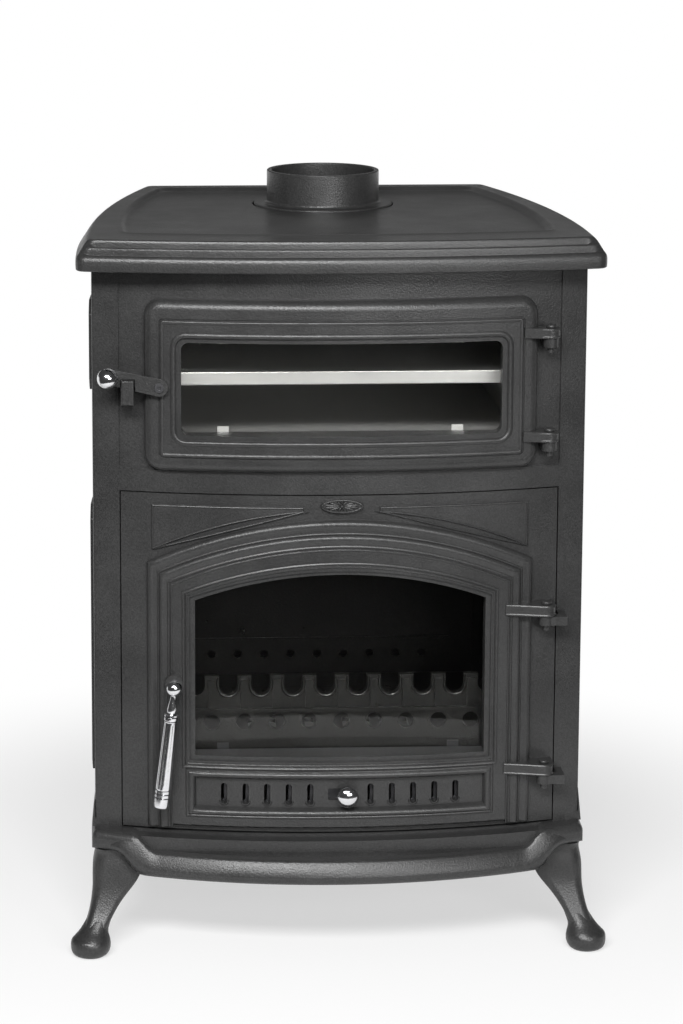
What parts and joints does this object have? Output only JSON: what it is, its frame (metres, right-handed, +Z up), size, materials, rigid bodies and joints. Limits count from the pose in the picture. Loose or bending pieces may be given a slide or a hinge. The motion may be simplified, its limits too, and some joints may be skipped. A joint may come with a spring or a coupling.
{
  "type": "wood cookstove",
  "caption": "Cast-iron wood cookstove: bowed body on cabriole legs, glazed oven door over an arched glazed fire door, stepped hob plate and round flue collar.",
  "frame": {"origin": "on the floor, in the middle of the stove's footprint: the middle of its whole width and depth", "axes": "+Z up, +X to the right as seen from the front, +Y to the back; the doors face -Y"},
  "size_m": [0.6622, 0.5839, 0.929],
  "materials": {
    "black_iron": "cast iron in satin black stove paint, fine cast grain",
    "raw_iron": "bare cast iron, darkened by fire",
    "oven_steel": "plain sheet steel, dull",
    "bright_metal": "polished nickel",
    "fastener_steel": "dark oxide steel",
    "stove_glass": "clear glass ceramic",
    "woven_rope": "woven glass fibre"
  },
  "bodies": {
    "stove": {"front_frame": "black_iron", "side_panel_right": "black_iron", "side_panel_left": "black_iron", "back_panel": "black_iron", "top_plate": "black_iron", "flue_collar": "black_iron", "collar_bolts": "fastener_steel", "tie_rods": "fastener_steel", "tie_rod_nuts": "fastener_steel", "base_plate": "black_iron", "leg_bolts": "fastener_steel", "leg_front_right": "black_iron", "leg_front_left": "black_iron", "leg_rear_right": "black_iron", "leg_rear_left": "black_iron", "oven_box": "oven_steel", "oven_shelf": "oven_steel", "shelf_rails": "oven_steel", "oven_hinge_pins": "black_iron", "fire_hinge_pins": "black_iron", "latch_keeper": "black_iron", "keeper_screw": "fastener_steel", "side_liner_right": "raw_iron", "side_liner_left": "raw_iron", "rear_liner": "raw_iron", "hearth_plate": "raw_iron", "fire_grate": "raw_iron", "log_guard": "raw_iron", "hearth_support_right": "raw_iron", "hearth_support_left": "raw_iron", "ash_pan": "oven_steel"},
    "oven_door": {"oven_door": "black_iron", "oven_glass": "stove_glass", "oven_glass_seal": "woven_rope", "oven_glass_clips": "bright_metal", "oven_clip_screws": "fastener_steel", "latch_screw": "fastener_steel"},
    "oven_latch": {"latch_lever": "black_iron", "latch_knob": "bright_metal"},
    "fire_door": {"fire_door": "black_iron", "fire_glass": "stove_glass", "fire_glass_seal": "woven_rope", "fire_glass_clips": "bright_metal", "fire_clip_screws": "fastener_steel", "fire_door_rope": "woven_rope", "slide_guides": "raw_iron"},
    "fire_handle": {"fire_handle": "bright_metal", "handle_spindle": "bright_metal", "latch_cam": "raw_iron", "cam_nut": "fastener_steel"},
    "air_slide": {"air_slide": "oven_steel", "air_knob": "bright_metal"}
  },
  "joints": [
    {"name": "oven_door_hinge", "type": "hinge", "parent": "stove", "child": "oven_door", "pos_m": [0.2515, -0.236, 0.704], "axis": [0, 0, 1], "range_deg": [0, 125]},
    {"name": "fire_door_hinge", "type": "hinge", "parent": "stove", "child": "fire_door", "pos_m": [0.2515, -0.236, 0.323], "axis": [0, 0, 1], "range_deg": [0, 120]},
    {"name": "oven_latch_turn", "type": "hinge", "parent": "oven_door", "child": "oven_latch", "pos_m": [-0.2195, -0.2445, 0.7115], "axis": [0, 1, 0], "range_deg": [0, 60]},
    {"name": "fire_handle_turn", "type": "hinge", "parent": "fire_door", "child": "fire_handle", "pos_m": [-0.203, -0.258, 0.343], "axis": [0, 1, 0], "range_deg": [0, 90]},
    {"name": "air_slide_run", "type": "hinge", "parent": "fire_door", "child": "air_slide", "pos_m": [0, 0.7755, 0.2045], "axis": [0, 0, 1], "range_deg": [-0.6724, 0.1849]}
  ]
}
